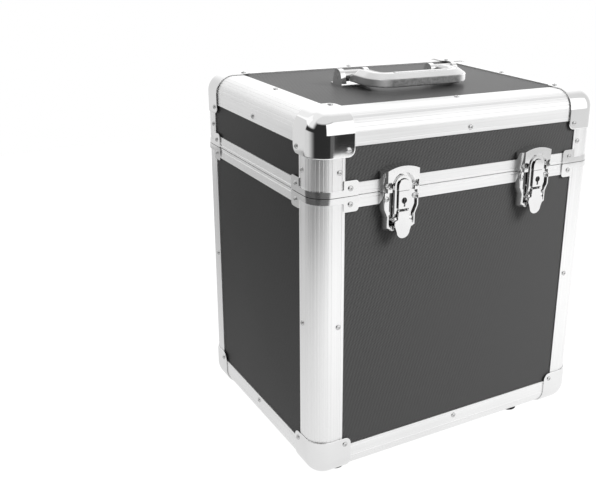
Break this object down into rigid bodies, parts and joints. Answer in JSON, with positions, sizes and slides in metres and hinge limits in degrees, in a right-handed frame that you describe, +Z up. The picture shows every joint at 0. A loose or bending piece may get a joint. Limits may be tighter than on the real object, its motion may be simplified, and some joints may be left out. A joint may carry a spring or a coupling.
{
  "type": "record carrying case",
  "caption": "Upright carrying case with ridged metal edges, ball corners, a hinged lid held by toggle latches with key locks, and a folding handle.",
  "frame": {"origin": "on the floor plane under the middle of the case body, where the feet rest", "axes": "+Z up, the latched front faces -Y, +X to the right of a person facing the front"},
  "size_m": [0.3556, 0.2912, 0.4039],
  "materials": {
    "laminate_panel": "thin board faced with dark textured laminate",
    "lining": "thin foam sheet",
    "foot_rubber": "moulded",
    "grip_shell": "fine grained, metallic grey",
    "grip_strip": "satin",
    "edge_aluminium": "extruded, fine ridges, satin",
    "rim_aluminium": "extruded, satin",
    "rivet_steel": "domed heads",
    "clamp_steel": "plated sheet",
    "corner_chrome": "pressed, plated",
    "pin_steel": "plain",
    "hinge_steel": "plated sheet",
    "lock_brass": "plated",
    "bracket_chrome": "plated",
    "latch_chrome": "pressed, plated"
  },
  "bodies": {
    "base": {"base_back_bottom_edge": "edge_aluminium", "base_back_left_post": "edge_aluminium", "base_back_panel": "laminate_panel", "base_back_right_post": "edge_aluminium", "base_ball_corners": "corner_chrome", "base_feet": "foot_rubber", "base_floor_panel": "laminate_panel", "base_foot_screws": "pin_steel", "base_front_bottom_edge": "edge_aluminium", "base_front_left_post": "edge_aluminium", "base_front_panel": "laminate_panel", "base_front_right_post": "edge_aluminium", "base_hinge_leaves": "hinge_steel", "base_left_bottom_edge": "edge_aluminium", "base_left_panel": "laminate_panel", "base_lining": "lining", "base_right_bottom_edge": "edge_aluminium", "base_right_panel": "laminate_panel", "base_rim": "rim_aluminium", "base_rim_clamps": "clamp_steel", "base_rivets": "rivet_steel", "hinge_pins": "pin_steel", "latch_lever_pins": "pin_steel", "left_latch_plate": "latch_chrome", "right_latch_plate": "latch_chrome"},
    "lid": {"handle_left_bracket": "bracket_chrome", "handle_pins": "pin_steel", "handle_right_bracket": "bracket_chrome", "left_latch_keeper": "latch_chrome", "lid_back_left_post": "edge_aluminium", "lid_back_panel": "laminate_panel", "lid_back_right_post": "edge_aluminium", "lid_back_top_edge": "edge_aluminium", "lid_ball_corners": "corner_chrome", "lid_front_left_post": "edge_aluminium", "lid_front_panel": "laminate_panel", "lid_front_right_post": "edge_aluminium", "lid_front_top_edge": "edge_aluminium", "lid_hinge_leaves": "hinge_steel", "lid_left_panel": "laminate_panel", "lid_left_top_edge": "edge_aluminium", "lid_lining": "lining", "lid_right_panel": "laminate_panel", "lid_right_top_edge": "edge_aluminium", "lid_rim": "rim_aluminium", "lid_rim_clamps": "clamp_steel", "lid_rivets": "rivet_steel", "lid_top_panel": "laminate_panel", "right_latch_keeper": "latch_chrome"},
    "handle": {"handle_grip": "grip_shell", "handle_insert": "grip_strip"},
    "left_lever": {"left_latch_lever": "latch_chrome", "left_latch_bail_pin": "pin_steel"},
    "left_bail": {"left_latch_bail": "latch_chrome"},
    "left_lock": {"left_lock_plug": "lock_brass"},
    "right_lever": {"right_latch_lever": "latch_chrome", "right_latch_bail_pin": "pin_steel"},
    "right_bail": {"right_latch_bail": "latch_chrome"},
    "right_lock": {"right_lock_plug": "lock_brass"}
  },
  "joints": [
    {"name": "lid_hinge", "type": "hinge", "parent": "base", "child": "lid", "pos_m": [0, 0.1397, 0.308], "axis": [-1, 0, 0], "range_deg": [0, 100]},
    {"name": "handle_swing", "type": "hinge", "parent": "lid", "child": "handle", "pos_m": [0, 0, 0.3956], "axis": [-1, 0, 0], "range_deg": [0, 90]},
    {"name": "left_lever_swing", "type": "hinge", "parent": "base", "child": "left_lever", "pos_m": [-0.0845, -0.1451, 0.287], "axis": [-1, 0, 0], "range_deg": [0, 90]},
    {"name": "left_bail_swing", "type": "hinge", "parent": "left_lever", "child": "left_bail", "pos_m": [-0.0845, -0.1445, 0.2806], "axis": [-1, 0, 0], "range_deg": [-90, 0]},
    {"name": "left_lock_turn", "type": "hinge", "parent": "base", "child": "left_lock", "pos_m": [-0.0845, -0.1365, 0.2994], "axis": [0, 1, 0], "range_deg": [0, 90]},
    {"name": "right_lever_swing", "type": "hinge", "parent": "base", "child": "right_lever", "pos_m": [0.0845, -0.1451, 0.287], "axis": [-1, 0, 0], "range_deg": [0, 90]},
    {"name": "right_bail_swing", "type": "hinge", "parent": "right_lever", "child": "right_bail", "pos_m": [0.0845, -0.1445, 0.2806], "axis": [-1, 0, 0], "range_deg": [-90, 0]},
    {"name": "right_lock_turn", "type": "hinge", "parent": "base", "child": "right_lock", "pos_m": [0.0845, -0.1365, 0.2994], "axis": [0, 1, 0], "range_deg": [0, 90]}
  ],
  "couplings": [
    {"joint": "left_bail_swing", "follows": "left_lever_swing", "ratio": -1},
    {"joint": "right_bail_swing", "follows": "right_lever_swing", "ratio": -1}
  ]
}
